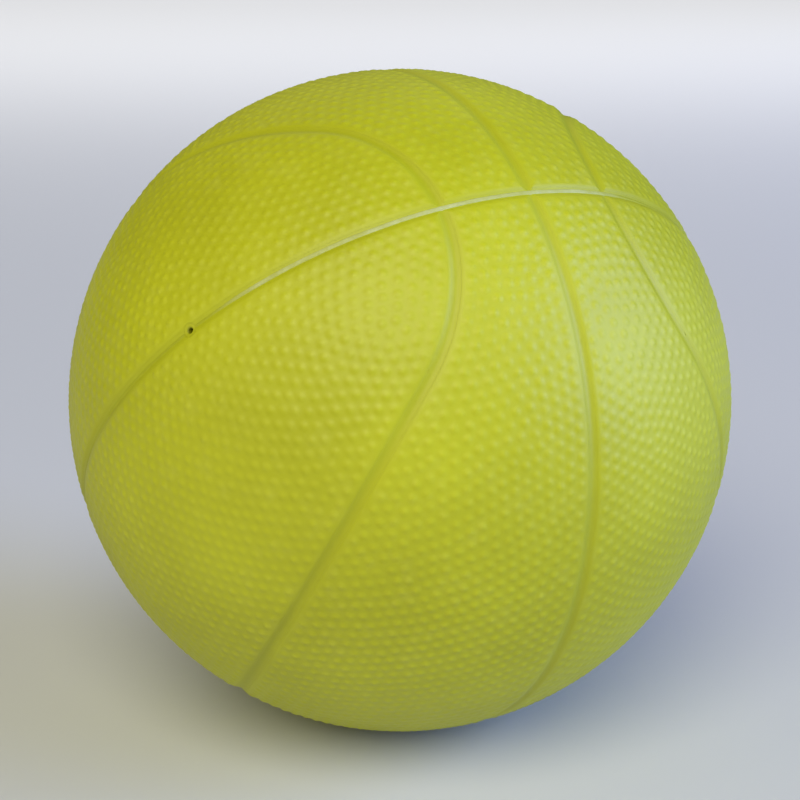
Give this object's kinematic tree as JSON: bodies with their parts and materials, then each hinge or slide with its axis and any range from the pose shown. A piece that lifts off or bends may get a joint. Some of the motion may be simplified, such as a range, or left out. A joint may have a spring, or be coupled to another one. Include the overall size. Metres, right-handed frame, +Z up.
{
  "type": "dodgeball",
  "caption": "Moulded rubber dodgeball with a pebbled panel cover, sunken channels in a basketball pattern and a needle valve on the parting line.",
  "frame": {"origin": "the ball's centre", "axes": "+Z up, and -Y towards the viewer in the picture. The centre channel's plane is upright and holds the ball's highest and lowest points. The right-hand end loop's middle lies 30 degrees from +X towards +Y."},
  "size_m": [0.216, 0.216, 0.216],
  "materials": {
    "cover_rubber": "satin",
    "plug_rubber": "satin",
    "nylon_thread": "woven",
    "butyl_rubber": "satin"
  },
  "bodies": {
    "ball": {"left_end_panel_upper": "cover_rubber", "left_end_panel_lower": "cover_rubber", "left_middle_panel_upper": "cover_rubber", "left_middle_panel_lower": "cover_rubber", "right_middle_panel_upper": "cover_rubber", "right_middle_panel_lower": "cover_rubber", "right_end_panel_upper": "cover_rubber", "right_end_panel_lower": "cover_rubber", "backing_ply": "cover_rubber", "thread_winding": "nylon_thread", "bladder_valve_half": "butyl_rubber", "bladder_plain_half": "butyl_rubber", "valve_housing": "butyl_rubber"},
    "valve_plug": {"valve_plug": "plug_rubber"}
  },
  "joints": [
    {"name": "valve_plug_slide", "type": "slide", "parent": "ball", "child": "valve_plug", "axis": [-0.5472, -0.739, 0.393], "range_m": [0, 0.014]}
  ]
}
